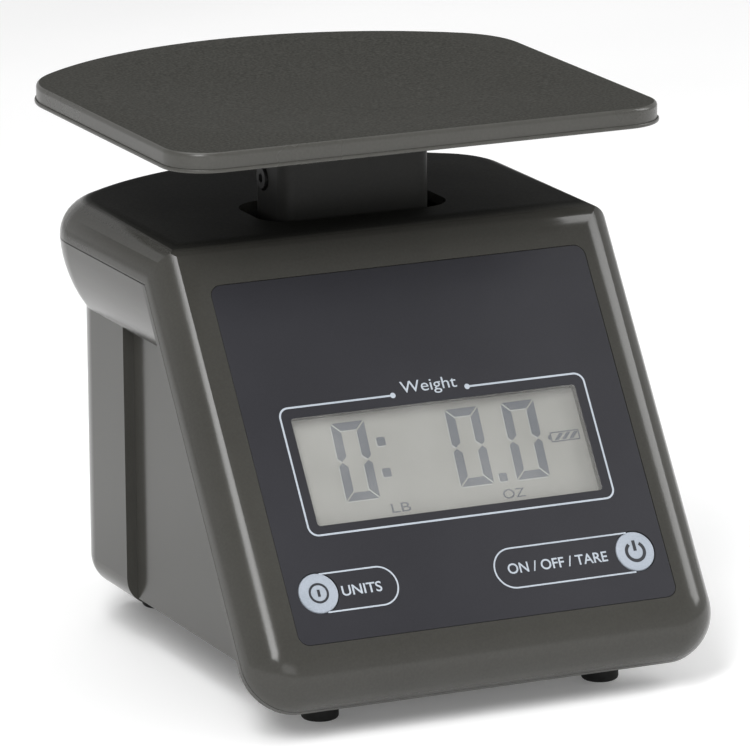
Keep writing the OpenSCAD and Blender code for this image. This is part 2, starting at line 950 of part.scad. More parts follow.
// pillars for the long case screws, tabs behind the face, and bosses for the base screws
module housing_bosses() {
    for (side = [-1, 1]) {
        translate([side * pillar_x, pillar_y, column_bottom])
        difference() {
            cylinder(d = pillar_d, h = pillar_top - column_bottom);
            translate([0, 0, -cut])
            cylinder(d = pillar_bore, h = pillar_top - column_bottom - pillar_shelf + cut);
            cylinder(d = case_screw_d + screw_play, h = far);
        }
        on_face()
        translate([side * tab_x, tab_v, -cover_depth - seam - tab_t])
        difference() {
            translate([side > 0 ? -tab_half : -tab_root, -tab_half, 0])
            cube([tab_half + tab_root, 2 * tab_half, tab_t]);
            translate([0, 0, -cut])
            cylinder(d = case_screw_d + screw_play, h = tab_t + 2 * cut);
        }
        for (y = base_screw_y) {
            boss_z = y > column_front ? column_bottom : panel_bottom;
            translate([side * base_screw_x, y, boss_z + housing_wall - 0.2])
            difference() {
                cylinder(d = base_boss_d, h = base_boss_h);
                translate([0, 0, -cut])
                cylinder(d = case_screw_d, h = base_boss_h);
            }
        }
    }
}

module base_plate() {
    color(body_color)
    placed()
    difference() {
        union() {
            base_tray();
            for (side = [-1, 1], y = base_screw_y) {
                top = y > column_front ? column_bottom : panel_bottom;
                translate([side * base_screw_x, y, base_z])
                cylinder(d = base_pad_d, h = top - base_z - touch);
            }
            block(-pad_half, pad_half, cell_front - pad_margin,
                  cell_front + spacer_l + pad_margin, base_top - cut, pad_top);
            translate([0, post_y, base_top - cut])
            cylinder(d = stop_boss_d, h = cell_z - base_top - 4);
            battery_bay();
        }
        for (side = [-1, 1]) {
            for (y = base_screw_y) {
                translate([side * base_screw_x, y, base_z - cut]) {
                    cylinder(d = case_screw_d + screw_play, h = far / 4);
                    cylinder(d = head_d + 0.6, h = cut + base_screw_sink);
                }
            }
            translate([side * front_foot_x, front_foot_y, base_z - cut])
            cylinder(d = foot_d + 2 * touch, h = foot_depth + cut);
            translate([side * rear_foot_x, rear_foot_y, base_z - cut])
            cylinder(d = foot_d + 2 * touch, h = foot_depth + cut);
        }
        for (y = base_hole_y) {
            translate([0, y, base_z - cut]) {
                cylinder(d = cell_base_d + screw_play, h = far / 4);
                cylinder(d = cell_head_d + 0.6, h = cut + cell_base_sink);
            }
        }
        translate([0, post_y, base_z - cut])
        cylinder(d = stop_d, h = far / 4);
    }
}

// shallow tray that closes the housing from below
module base_tray() {
    depth = base_back - base_front;
    difference() {
        union() {
            translate([0, base_front, base_z])
            linear_extrude(column_bottom - base_z - touch)
            round_rect(base_w, depth, base_corner_r);
            block(-base_half, base_half, base_front + base_corner_r, column_front - 0.4,
                  base_z, panel_bottom - touch);
        }
        difference() {
            translate([0, base_front + tray_wall, base_top])
            linear_extrude(far)
            round_rect(base_w - 2 * tray_wall, depth - 2 * tray_wall, base_corner_r - 2);
            block(-base_half, base_half, base_front + 2, base_front + base_corner_r, base_top,
                  far);
        }
        bay_cut();
    }
}

// way in for the battery, with the slot that the door slides in
module bay_cut() {
    block(-bay_l / 2, bay_l / 2, bay_y - bay_w / 2, bay_y + bay_w / 2, 0, far);
    block(-door_half - door_play, door_half + door_play, door_front - 0.2, far,
          base_z + door_step - door_sink, base_top);
    block(-door_half + door_lip - door_play, door_half - door_lip + door_play,
          door_front - 0.2, far, base_z - cut, base_z + door_step);
}

module battery_bay() {
    difference() {
        union() {
            block(-bay_l / 2 - bay_wall, bay_l / 2 + bay_wall, bay_y - bay_w / 2 - bay_wall,
                  bay_y + bay_w / 2 + bay_wall, base_top, bay_top + bay_wall);
            block(-door_half - 3, door_half + 3, door_front - 3, floor_back - loose, base_top,
                  base_top + 1.2);
        }
        block(-bay_l / 2, bay_l / 2, bay_y - bay_w / 2, bay_y + bay_w / 2, 0, bay_top);
        translate([bay_l / 2 - cut, bay_y, lead_exit_z])
        rotate([0, 90, 0])
        cylinder(d = lead_hole_d, h = bay_wall + 2 * cut);
    }
}

module battery_door() {
    color(body_color)
    placed()
    difference() {
        union() {
            block(-door_half + door_lip, door_half - door_lip, door_front, base_back,
                  base_z + door_sink, base_z + door_sink + door_t);
            block(-door_half, door_half, door_front, base_back,
                  base_z + door_sink + door_step, base_z + door_sink + door_t);
        }
        for (i = [0 : 4]) {
            groove = base_back - 4 - 2 * i;
            block(-grip_half, grip_half, groove - 1, groove, base_z - cut, base_z + 0.6);
        }
    }
}

module case_screws() {
    color(steel_color)
    placed()
    for (side = [-1, 1]) {
        translate([side * pillar_x, pillar_y, pillar_top - pillar_shelf - touch])
        screw(case_screw_d - 2 * touch, 13, head_d, 2.2);
        on_face()
        translate([side * tab_x, tab_v, -cover_depth - seam - tab_t - touch])
        screw(case_screw_d - 2 * touch, 9.5, head_d, 2);
    }
}

module base_screws() {
    color(steel_color)
    placed()
    for (side = [-1, 1], y = base_screw_y) {
        translate([side * base_screw_x, y, base_z + base_screw_sink - touch])
        screw(case_screw_d - 2 * touch, y > column_front ? 7 : 9, head_d, head_h);
    }
}

module foot() {
    edge = foot_edge_r;
    rotate_extrude($fn = 96) {
        square([foot_d / 2 - edge, edge]);
        translate([0, edge])
        square([foot_d / 2, base_z + foot_depth - touch - edge]);
        translate([foot_d / 2 - edge, edge])
        mirror([0, 1])
        quarter(edge);
    }
}

module front_feet() {
    color(rubber_color)
    placed()
    for (side = [-1, 1]) {
        translate([side * front_foot_x, front_foot_y, 0])
        intersection() {
            foot();
            cylinder(d = foot_d, h = base_z + foot_depth - touch);
        }
    }
}

module rear_feet() {
    color(rubber_color)
    placed()
    for (side = [-1, 1]) {
        translate([side * rear_foot_x, rear_foot_y, 0])
        intersection() {
            foot();
            cylinder(d = foot_d, h = base_z + foot_depth - touch);
        }
    }
}

// ---- face ----

module overlay() {
    color([0.2, 0.21, 0.23])
    placed()
    on_face()
    difference() {
        translate([0, overlay_v, -overlay_recess + touch])
        linear_extrude(overlay_t)
        round_rect(overlay_w, overlay_l, overlay_corner_r);
        translate([0, window_v - touch, -overlay_recess - cut])
        linear_extrude(far)
        round_rect(window_w + 2 * touch, window_l + 2 * touch, window_corner_r + touch);
        for (side = [-1, 1]) {
            translate([side * key_x, key_v, -overlay_recess - cut])
            cylinder(d = key_d + 2 * key_gap, h = far);
        }
    }
}

module display_window() {
    color([0.75, 0.78, 0.78, 0.4])
    placed()
    on_face()
    translate([0, window_v, -overlay_w0 - window_t])
    linear_extrude(window_t)
    round_rect(window_w, window_l, window_corner_r);
}

module display_glass() {
    color([0.67, 0.68, 0.62])
    placed()
    on_face()
    translate([0, window_v - glass_margin, -glass_w0 - glass_t])
    linear_extrude(glass_t)
    round_rect(glass_w, glass_l, 0.3);
}

module display_frame() {
    color("whitesmoke")
    placed()
    on_face()
    difference() {
        translate([0, window_v - glass_margin - frame_wall, -board_w0 + touch])
        linear_extrude(board_w0 - cover_wall - 2 * touch)
        round_rect(glass_w + 2 * frame_wall, glass_l + 2 * frame_wall, 1.5);
        translate([0, window_v - glass_margin - loose, -board_w0 - cut])
        linear_extrude(board_w0 - glass_w0 + cut + touch)
        round_rect(glass_w + 2 * loose, glass_l + 2 * loose, 0.4);
        translate([0, window_v - 0.6, -board_w0])
        linear_extrude(far)
        round_rect(window_w + 1.2, window_l + 1.2, 1);
    }
}

module contact_strips() {
    color("hotpink")
    placed()
    on_face()
    for (v = [window_v - glass_margin + 0.4, window_v + window_l + glass_margin - 0.4 - strip_w]) {
        translate([-window_w / 2, v, -board_w0 + touch])
        cube([window_w, strip_w, strip_h - 2 * touch]);
    }
}

// a key cap with a collar that keeps it in and a stalk that presses its dome
module key(x) {
    edge = 0.3;
    on_face()
    translate([x, key_v, 0]) {
        translate([0, 0, -key_collar_w])
        cylinder(d = key_d, h = key_collar_w - key_face_w - edge);
        translate([0, 0, -key_face_w - edge])
        cylinder(d1 = key_d, d2 = key_d - 2 * edge, h = edge, $fn = 64);
        translate([0, 0, -key_collar_w - key_collar_t])
        cylinder(d = key_collar_d, h = key_collar_t);
        translate([0, 0, -key_end_w])
        cylinder(d = key_stalk_d, h = key_end_w - key_collar_w);
    }
}

module units_key() {
    color([0.68, 0.72, 0.78])
    placed()
    key(-key_x);
}

module power_key() {
    color([0.68, 0.72, 0.78])
    placed()
    key(key_x);
}

// ---- electronics ----

module dome_switches() {
    dome_r = (dome_d * dome_d / 4 + dome_h * dome_h) / (2 * dome_h);
    color("gold")
    placed()
    on_face()
    for (side = [-1, 1]) {
        translate([side * key_x, key_v, -board_w0 + touch])
        rotate_extrude($fn = 64)
        intersection() {
            translate([0, dome_h - dome_r])
            circle(dome_r, $fn = 720);
            square([dome_d, dome_h]);
        }
    }
}

module circuit_board() {
    color("darkgreen")
    placed()
    on_face()
    difference() {
        translate([0, board_v, -board_back])
        linear_extrude(board_t)
        round_rect(board_w, board_l, board_corner_r);
        for (side = [-1, 1], v = board_hole_v) {
            translate([side * board_hole_x, v, -board_back - cut])
            cylinder(d = board_screw_d + 0.4, h = board_t + 2 * cut);
        }
    }
}

// a flat package behind the board, centred on a place across and up the face
module chip(x, v, w, l, h) {
    translate([x - w / 2, v - l / 2, -board_back - h - touch])
    cube([w, l, h]);
}

module board_chips() {
    color([0.1, 0.1, 0.1])
    placed()
    on_face() {
        chip(0, board_v + 38, 12, 12, 1.6);
        chip(22, board_v + 30, 10, 6, 1.5);
        chip(-20, board_v + 28, 5, 4, 1.4);
    }
}

module board_parts() {
    color("dimgray")
    placed()
    on_face() {
        chip(-12, board_v + 50, 11, 4.6, 3.4);
        for (i = [0 : 3]) {
            chip(12 + 4 * i, board_v + 46, 2, 1.2, 0.8);
            chip(-32 + 4 * i, board_v + 40, 2, 1.2, 0.8);
        }
        for (x = [34, 42]) {
            translate([x, board_v + 44, -board_back - 7 - touch])
            cylinder(d = 6.2, h = 7);
        }
    }
}

module board_sockets() {
    color("white")
    placed()
    on_face()
    for (x = [-socket_x, socket_x]) {
        difference() {
            chip(x, socket_v, socket_size[0], socket_size[1], socket_size[2]);
            translate([0, 0, -socket_size[2] / 2])
            chip(x, socket_v, socket_size[0] - 2 * socket_wall,
                 socket_size[1] - 2 * socket_wall, socket_size[2] / 2 + cut);
        }
    }
}

module board_screws() {
    color(steel_color)
    placed()
    on_face()
    for (side = [-1, 1], v = board_hole_v) {
        translate([side * board_hole_x, v, -board_back - touch])
        screw(board_screw_d, board_t + 4, 4, 1.4);
    }
}

module cell_cable() {
    bottom = board_back + socket_size[2] / 2 + 0.4;
    color("gray")
    placed()
    wire([face_point(-socket_x, socket_v, bottom),
          face_point(-socket_x, socket_v, board_back + 7),
          face_point(-socket_x, socket_v, board_back + 11),
          [-socket_x, cell_front + 10, cell_top + 6],
          [-16, cell_mid - 14, cell_top + 4],
          [-cell_w / 2 - cable_d, cell_mid - 8, cell_z + cell_w / 2],
          [-cell_w / 2 - cable_d / 2 - touch, cell_mid, cell_z + cell_w / 2]], cable_d);
}

module battery() {
    color([0.25, 0.27, 0.3])
    placed() {
        block(battery_x, battery_x + battery_l - terminal_h, bay_y - battery_w / 2,
              bay_y + battery_w / 2, battery_z, battery_z + battery_t);
        for (side = [-1, 1]) {
            translate([battery_x + battery_l - terminal_h - 0.1, bay_y + side * terminal_y,
                       battery_z + battery_t / 2])
            rotate([0, 90, 0])
            cylinder(d = side > 0 ? terminal_d[1] : terminal_d[0], h = terminal_h + 0.1,
                     $fn = side > 0 ? 48 : 6);
        }
    }
}

module battery_snap() {
    snap_x = battery_x + battery_l - terminal_h + touch;
    color(rubber_color)
    placed()
    difference() {
        block(snap_x, snap_x + snap_l, bay_y - snap_half, bay_y + snap_half,
              battery_z + battery_t / 2 - snap_half_h, battery_z + battery_t / 2 + snap_half_h);
        for (side = [-1, 1]) {
            translate([snap_x - cut, bay_y + side * terminal_y, battery_z + battery_t / 2])
            rotate([0, 90, 0])
            cylinder(d = snap_hole_d, h = terminal_h + cut + 0.1);
        }
    }
}

module battery_leads() {
    snap_end = battery_x + battery_l - terminal_h + snap_l + 0.3;
    for (side = [-1, 1]) {
        x = socket_x + 1.2 * side;
        color(side > 0 ? "red" : "black")
        placed()
        wire([[snap_end, bay_y, lead_exit_z + side],
              [bay_l / 2 + 4, bay_y - 2, lead_exit_z + side],
              [bay_l / 2 + 6, bay_y - 30, lead_exit_z + 8 + side],
              [x, cell_front + 14, cell_top + 0.3],
              face_point(x, socket_v, board_back + 12),
              face_point(x, socket_v, board_back + 7.5),
              face_point(x, socket_v, board_back + socket_size[2] / 2 + 0.4)], lead_d);
    }
}

platform();
post();
post_screws();
cell_top_screws();
load_cell();
strain_gauges();
cell_spacer();
cell_base_screws();
overload_stop();
front_cover();
rear_housing();
base_plate();
overlay();
display_window();
display_glass();
display_frame();
contact_strips();
units_key();
power_key();
dome_switches();
circuit_board();
board_chips();
board_parts();
board_sockets();
board_screws();
cell_cable();
battery();
battery_snap();
battery_leads();
battery_door();
case_screws();
base_screws();
front_feet();
rear_feet();
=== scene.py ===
import json
import math

import bmesh
import bpy
from mathutils import Matrix, Vector


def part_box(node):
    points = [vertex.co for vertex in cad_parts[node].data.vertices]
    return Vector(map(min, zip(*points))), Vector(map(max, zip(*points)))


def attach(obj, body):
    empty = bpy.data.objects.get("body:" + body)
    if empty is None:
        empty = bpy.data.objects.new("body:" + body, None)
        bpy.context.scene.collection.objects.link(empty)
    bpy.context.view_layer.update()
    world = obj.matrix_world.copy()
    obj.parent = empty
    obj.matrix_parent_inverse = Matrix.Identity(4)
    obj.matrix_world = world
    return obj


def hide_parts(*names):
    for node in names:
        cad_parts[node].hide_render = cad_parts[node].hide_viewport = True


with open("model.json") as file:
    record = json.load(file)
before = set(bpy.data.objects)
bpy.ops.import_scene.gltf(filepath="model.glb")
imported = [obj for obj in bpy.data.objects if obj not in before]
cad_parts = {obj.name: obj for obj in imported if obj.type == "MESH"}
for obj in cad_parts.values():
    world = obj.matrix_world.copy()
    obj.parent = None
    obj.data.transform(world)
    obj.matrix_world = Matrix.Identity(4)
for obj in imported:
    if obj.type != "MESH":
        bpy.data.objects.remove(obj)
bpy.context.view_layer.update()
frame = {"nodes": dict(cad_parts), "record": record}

MM = 0.001

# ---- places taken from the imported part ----

FACE_LEAN = math.radians(34.3)
SIN, COS = math.sin(FACE_LEAN), math.cos(FACE_LEAN)
UP_FACE = Vector((0, SIN, COS))
INTO_FACE = Vector((0, COS, -SIN))
OVERLAY_V = 30.9        # mm up the slope to the lower edge of the overlay
OVERLAY_W = 0.1         # mm from the face plane in to the overlay's surface

overlay_low, overlay_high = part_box("overlay")
overlay_foot = Vector((0, overlay_low.y, overlay_high.z))
overlay_foot.z -= (overlay_high.z - overlay_low.z)
overlay_thick = 0.4 * MM
overlay_foot.z += overlay_thick * SIN


def face(u, v, w):
    """A point from mm across the face, up its slope and in from its plane."""
    return (overlay_foot + Vector((u * MM, 0, 0)) + UP_FACE * (v - OVERLAY_V) * MM
            + INTO_FACE * (w - OVERLAY_W) * MM)


FACE_AXES = Matrix(((1, 0, 0), tuple(UP_FACE), tuple(-INTO_FACE))).transposed()


def face_matrix(w):
    """Local x and y in mm across and up the face, and z in mm out of it."""
    m = (FACE_AXES * MM).to_4x4()
    m.translation = face(0, 0, w)
    return m


# ---- materials ----

NOISE_ROUGHNESS = 0.55
LEVEL_RANGE = (0.90, 0.99)     # upward part of the normal where a side starts to count as level
SPECK_RANGE = (0.35, 0.75)     # part of the fine noise that shows as bright specks
SPECK_AMOUNT = 0.22
SPECK_GAIN = 1.5               # how much brighter a speck is than the light tone
BROAD_DEPTH_GAIN = 2           # the broad unevenness is this much deeper than the grain


class Nodes:
    """Short names for building a node material."""

    def __init__(self, name):
        self.material = bpy.data.materials.new(name)
        self.material.use_nodes = True
        self.tree = self.material.node_tree
        self.shader = next(n for n in self.tree.nodes if n.type == "BSDF_PRINCIPLED")
        place = self.add("ShaderNodeTexCoord")
        self.where = place.outputs["Object"]
        self.normal = place.outputs["Normal"]

    def add(self, kind, **values):
        node = self.tree.nodes.new(kind)
        for key, value in values.items():
            setattr(node, key, value)
        return node

    def link(self, a, b):
        self.tree.links.new(a, b)

    def noise(self, scale, detail=3.0):
        node = self.add("ShaderNodeTexNoise")
        node.inputs["Scale"].default_value = scale
        node.inputs["Detail"].default_value = detail
        node.inputs["Roughness"].default_value = NOISE_ROUGHNESS
        self.link(self.where, node.inputs["Vector"])
        return node.outputs["Fac"]

    def spread(self, value, low, high, start=0.3, end=0.7):
        node = self.add("ShaderNodeMapRange")
        node.inputs["From Min"].default_value = start
        node.inputs["From Max"].default_value = end
        node.inputs["To Min"].default_value = low
        node.inputs["To Max"].default_value = high
        self.link(value, node.inputs["Value"])
        return node.outputs["Result"]

    def facing_up(self):
        """1 where the surface looks straight up, falling to 0 as it turns away."""
        split = self.add("ShaderNodeSeparateXYZ")
        self.link(self.normal, split.inputs["Vector"])
        return self.spread(split.outputs["Z"], 0, 1, *LEVEL_RANGE)

    def total(self, a, b):
        node = self.add("ShaderNodeMath", operation="ADD")
        self.link(a, node.inputs[0])
        self.link(b, node.inputs[1])
        return node.outputs[0]

    def blend(self, factor, a, b):
        node = self.add("ShaderNodeMix", data_type="RGBA")
        for socket, value in ((node.inputs[6], a), (node.inputs[7], b)):
            if isinstance(value, tuple):
                socket.default_value = (*value, 1)
            else:
                self.link(value, socket)
        self.link(factor, node.inputs[0])
        return node.outputs[2]

    def bump(self, heights, distances):
        normal = None
        for height, distance in zip(heights, distances):
            node = self.add("ShaderNodeBump")
            node.inputs["Strength"].default_value = 1.0
            node.inputs["Distance"].default_value = distance
            self.link(height, node.inputs["Height"])
            if normal:
                self.link(normal, node.inputs["Normal"])
            normal = node.outputs["Normal"]
        self.link(normal, self.shader.inputs["Normal"])

    def set(self, **values):
        for key, value in values.items():
            self.shader.inputs[key.replace("_", " ")].default_value = value


def finish(name, dark, light, rough, grain=900, grain_depth=0.00002, mottle=25,
           metallic=0.0, specular=0.5, top=None):
    """A moulded, printed or metal finish: mottled colour, uneven gloss and a fine grain.

    top is the colours, extra roughness and specular level of its level upper side; its colours are
    painted shade that darkens that side, its roughness and specular make it matte."""
    n = Nodes(name)
    broad = n.noise(mottle, 4.0)
    fine = n.noise(grain, 2.0)
    tone = n.blend(n.spread(broad, 0, 1), dark, light)
    speck = n.blend(n.spread(fine, 0, SPECK_AMOUNT, *SPECK_RANGE), tone,
                    tuple(c * SPECK_GAIN for c in light))
    roughness = n.spread(broad, rough[0], rough[1])
    if top:
        painted_shade_dark, painted_shade_light, rougher, top_specular = top
        level = n.facing_up()
        # the level upper side takes darker colours: painted shade
        speck = n.blend(level, speck, n.blend(n.spread(fine, 0, 1), painted_shade_dark, painted_shade_light))
        roughness = n.total(roughness, n.spread(level, 0, rougher, 0, 1))
    n.link(speck, n.shader.inputs["Base Color"])
    n.link(roughness, n.shader.inputs["Roughness"])
    n.bump([fine, broad], [grain_depth, grain_depth * BROAD_DEPTH_GAIN])
    n.set(Metallic=metallic)
    n.shader.inputs["Specular IOR Level"].default_value = specular
    if top:
        n.link(n.spread(level, specular, top_specular, 0, 1),
               n.shader.inputs["Specular IOR Level"])
    return n.material


# the casing's level top is painted darker: painted shade under the platform, on a real matte top
casing = finish("casing_plastic_painted_top_shade", (0.040, 0.039, 0.035), (0.046, 0.045, 0.040),
                (0.15, 0.20), grain=1500, grain_depth=0.000004, specular=0.32,
                top=((0.012, 0.012, 0.011), (0.022, 0.022, 0.020), 0.45, 0.04))
# the platform's level top is painted darker than its rim: painted shade, on a real matte top
platform_plastic = finish("platform_plastic", (0.050, 0.049, 0.044), (0.056, 0.055, 0.049),
                          (0.24, 0.32), grain=1300, grain_depth=0.000006, specular=0.4,
                          top=((0.022, 0.022, 0.019), (0.050, 0.049, 0.044), 0.45, 0.06))
post_plastic = finish("post_plastic", (0.014, 0.014, 0.013), (0.020, 0.020, 0.018),
                      (0.42, 0.50), grain=1200, grain_depth=0.00001, specular=0.2)
overlay_film = finish("overlay_film", (0.018, 0.018, 0.022), (0.022, 0.022, 0.027),
                      (0.34, 0.42), grain=2200, grain_depth=0.000003, mottle=14,
                      specular=0.35)
dark_steel = finish("black_screw_steel", (0.03, 0.03, 0.03), (0.05, 0.05, 0.05),
                    (0.35, 0.5), grain=1400, metallic=0.6)
ink = finish("print_ink", (0.34, 0.38, 0.43), (0.42, 0.46, 0.51), (0.45, 0.6),
             grain=2600, grain_depth=0.000004, mottle=60)
key_print = finish("key_print", (0.28, 0.315, 0.36), (0.34, 0.375, 0.43), (0.40, 0.5),
                   grain=2200, grain_depth=0.000006, mottle=90)
icon_ink = finish("icon_ink", (0.012, 0.013, 0.018), (0.02, 0.022, 0.028), (0.45, 0.55),
                  grain=2600, grain_depth=0.000004, mottle=60)
rubber = finish("foot_rubber", (0.008, 0.008, 0.008), (0.018, 0.018, 0.017), (0.72, 0.9),
                grain=700, grain_depth=0.00006, specular=0.3)
steel = finish("screw_steel", (0.42, 0.42, 0.41), (0.58, 0.58, 0.56), (0.25, 0.4),
               grain=1400, grain_depth=0.000008, metallic=1.0)
aluminium = finish("cell_aluminium", (0.60, 0.61, 0.62), (0.72, 0.73, 0.74), (0.3, 0.42),
                   grain=900, grain_depth=0.00001, metallic=1.0)
gauge = finish("gauge_film", (0.42, 0.24, 0.08), (0.55, 0.34, 0.12), (0.35, 0.5), grain=1800)
frame_plastic = finish("frame_plastic", (0.55, 0.55, 0.52), (0.66, 0.66, 0.62), (0.4, 0.55))
contact_rubber = finish("contact_rubber", (0.25, 0.25, 0.26), (0.5, 0.38, 0.42),
                        (0.5, 0.7), mottle=900)
board = finish("board_laminate", (0.010, 0.070, 0.025), (0.018, 0.115, 0.045), (0.28, 0.42),
               mottle=120, grain=1100)
chip = finish("chip_plastic", (0.012, 0.012, 0.012), (0.022, 0.022, 0.022), (0.5, 0.65))
part_plastic = finish("part_plastic", (0.05, 0.07, 0.12), (0.12, 0.15, 0.22), (0.35, 0.5),
                      mottle=200)
socket_plastic = finish("socket_plastic", (0.60, 0.58, 0.50), (0.72, 0.70, 0.62), (0.4, 0.55))
cable_grey = finish("cable_grey", (0.22, 0.22, 0.22), (0.3, 0.3, 0.3), (0.45, 0.6))
battery_case = finish("battery_case", (0.05, 0.05, 0.055), (0.09, 0.09, 0.10), (0.25, 0.35),
                      mottle=40)
lead = finish("lead_insulation", (0.20, 0.012, 0.012), (0.30, 0.02, 0.02), (0.35, 0.5))
dome = finish("dome_metal", (0.65, 0.62, 0.52), (0.75, 0.72, 0.6), (0.2, 0.3), metallic=1.0)


def window_material():
    """Clear film: mostly see-through, with a soft haze and its own gloss."""
    n = Nodes("window_clear")
    haze = n.noise(60, 3.0)
    n.link(n.spread(haze, 0.05, 0.10), n.shader.inputs["Alpha"])
    n.link(n.spread(haze, 0.10, 0.18), n.shader.inputs["Roughness"])
    n.set(Base_Color=(0.8, 0.8, 0.78, 1))
    return n.material


def lcd_material(name, dark, light, rough):
    """Reflective liquid crystal film: a faint mottle and a very fine grain."""
    n = Nodes(name)
    broad = n.noise(35, 3.0)
    fine = n.noise(2600, 2.0)
    tone = n.blend(n.spread(broad, 0, 1), dark, light)
    n.link(n.blend(n.spread(fine, 0, 0.25), tone, light), n.shader.inputs["Base Color"])
    n.link(n.spread(fine, rough[0], rough[1]), n.shader.inputs["Roughness"])
    n.bump([fine], [0.000003])
    return n.material


window_clear = window_material()
lcd_paper = lcd_material("lcd_reflector", (0.215, 0.215, 0.198), (0.245, 0.245, 0.225),
                         (0.5, 0.65))
lcd_ink = lcd_material("lcd_segment", (0.055, 0.064, 0.08), (0.068, 0.077, 0.095), (0.5, 0.6))
lcd_faint = lcd_material("lcd_segment_shade", (0.28, 0.30, 0.28), (0.31, 0.33, 0.31),
                         (0.5, 0.65))

SLOT_LOOK = {
    "casing": casing, "platform_plastic": platform_plastic, "post_plastic": post_plastic,
    "screw_steel": steel, "cell_aluminium": aluminium, "gauge_film": gauge,
    "overlay_film": overlay_film, "window_clear": window_clear, "lcd": lcd_paper,
    "frame_plastic": frame_plastic, "contact_rubber": contact_rubber,
    "key_print": key_print, "dome_metal": dome, "board": board, "chip_plastic": chip,
    "part_plastic": part_plastic, "socket_plastic": socket_plastic,
    "cable_grey": cable_grey, "battery_case": battery_case, "foot_rubber": rubber,
    "lead_insulation": lead,
}

# ---- pieces ----

node_slot = {s["node"]: s["material_slot"] for s in frame["record"]["subparts"]}
node_body = {}
for body, members in frame["record"]["behaviour"]["bodies"].items():
    for member in members:
        node_body[member] = body


def piece(name, mesh, body, material):
    """Puts a mesh in the scene as a piece that rides on a body."""
    for polygon in mesh.polygons:
        polygon.use_smooth = True
    mesh.materials.clear()
    mesh.materials.append(material)
    o = bpy.data.objects.new(name, mesh)
    bpy.context.scene.collection.objects.link(o)
    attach(o, body)
    return o


SHARP_EDGE = math.radians(32)
FLAT_JOIN = math.radians(0.4)
SKIN_WELD = 0.0000015
PRINT_WELD = 0.000001
NORMAL_WEIGHT = 60


def finer(node, bevel):
    """A cleaner copy of a CAD node: welded, with softened edges and even shading."""
    source = frame["nodes"][node].data
    mesh = bpy.data.meshes.new(node + "_skin")
    mesh.from_pydata([tuple(v.co) for v in source.vertices], [],
                     [tuple(p.vertices) for p in source.polygons])
    b = bmesh.new()
    b.from_mesh(mesh)
    bmesh.ops.remove_doubles(b, verts=b.verts, dist=SKIN_WELD)
    bmesh.ops.dissolve_limit(b, angle_limit=FLAT_JOIN, verts=b.verts,
                             edges=b.edges, delimit={"NORMAL"})
    bmesh.ops.recalc_face_normals(b, faces=b.faces)
    for edge in b.edges:
        if len(edge.link_faces) == 2 and edge.calc_face_angle(0) > SHARP_EDGE:
            edge.smooth = False
    b.to_mesh(mesh)
    b.free()
    o = piece(node + "_skin", mesh, node_body[node], SLOT_LOOK[node_slot[node]])
    soften = o.modifiers.new("soft_edges", "BEVEL")
    soften.width = bevel
    soften.segments = 2
    soften.limit_method = "ANGLE"
    soften.angle_limit = SHARP_EDGE
    soften.harden_normals = False
    soften.use_clamp_overlap = True
    shading = o.modifiers.new("even_shading", "WEIGHTED_NORMAL")
    shading.keep_sharp = False
    shading.weight = NORMAL_WEIGHT
    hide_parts(node)


for node, o in frame["nodes"].items():
    o.data.materials.clear()
    o.data.materials.append(SLOT_LOOK[node_slot[node]])

# the visible nodes and the width of their softened edges, in metres
FINE_NODES = {
    "front_cover": 0.0003, "rear_housing": 0.00025, "post": 0.0004, "base_plate": 0.0002,
    "battery_door": 0.0002, "overlay": 0.00008, "units_key": 0.00015, "power_key": 0.00015,
    "front_feet": 0.0004, "rear_feet": 0.0004,
}
for node, width in FINE_NODES.items():
    finer(node, width)
frame["nodes"]["post_screws"].data.materials[0] = dark_steel

# ---- platform ----

platform_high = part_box("platform")[1]
PLATFORM_HALF = 0.070
PLATFORM_DEPTH = 0.1345
PLATFORM_FRONT = platform_high.y - PLATFORM_DEPTH
PLATFORM_BACK = platform_high.y
RIM_TOP = platform_high.z
RIM_LOW = RIM_TOP - 0.0052
FRONT_R, REAR_R, BOW_R = 0.0125, 0.025, 0.095
DISH_Y = (PLATFORM_FRONT + PLATFORM_BACK) / 2
DISH_REACH = (PLATFORM_BACK - PLATFORM_FRONT) / 2 - 0.004
DISH_DEPTH = 0.0024
DISH_R = (DISH_REACH ** 2 + DISH_DEPTH ** 2) / (2 * DISH_DEPTH)
DISH_SOFT = 0.00022     # softening where the dish meets its flat rim
PLATE_T = 0.0026
TOP_RINGS = 40
UNDER_RINGS = 24


def platform_outline(inset, steps=(40, 24, 20, 60)):
    """Points around the platform's edge, drawn in by an inset; the same number each time."""
    half = PLATFORM_HALF - inset
    front_r = FRONT_R - inset
    rear_r = REAR_R - inset
    bow_r = BOW_R - inset
    front = PLATFORM_FRONT + inset
    back = PLATFORM_BACK - inset
    cx = half - rear_r
    cy = back - bow_r + math.sqrt((bow_r - rear_r) ** 2 - cx ** 2)
    turn = math.atan2(cx, cy - back + bow_r)
    right = []
    n_front, n_corner, n_side, n_rear = steps
    for i in range(n_front // 2 + 1):
        right.append((i / (n_front // 2) * (half - front_r), front))
    for i in range(1, n_corner + 1):
        a = math.pi / 2 * i / n_corner
        right.append((half - front_r + front_r * math.sin(a),
                      front + front_r - front_r * math.cos(a)))
    for i in range(1, n_side + 1):
        right.append((half, front + front_r + (cy - front - front_r) * i / n_side))
    for i in range(1, n_corner + 1):
        a = (math.pi / 2 - turn) * i / n_corner
        right.append((cx + rear_r * math.cos(a), cy + rear_r * math.sin(a)))
    for i in range(1, n_rear // 2 + 1):
        a = turn * (1 - i / (n_rear // 2))
        right.append((bow_r * math.sin(a), back - bow_r + bow_r * math.cos(a)))
    left = [(-x, y) for x, y in right[-2:0:-1]]
    return right + left


def dish_height(x, y):
    """Height of the platform's top: a shallow dish with a softened edge, flat outside it."""
    r = math.hypot(x, y - DISH_Y)
    drop = (math.sqrt(max(DISH_R ** 2 - r ** 2, 0)) - (DISH_R - DISH_DEPTH))
    return RIM_TOP - (drop + math.sqrt(drop * drop + DISH_SOFT * DISH_SOFT)) / 2


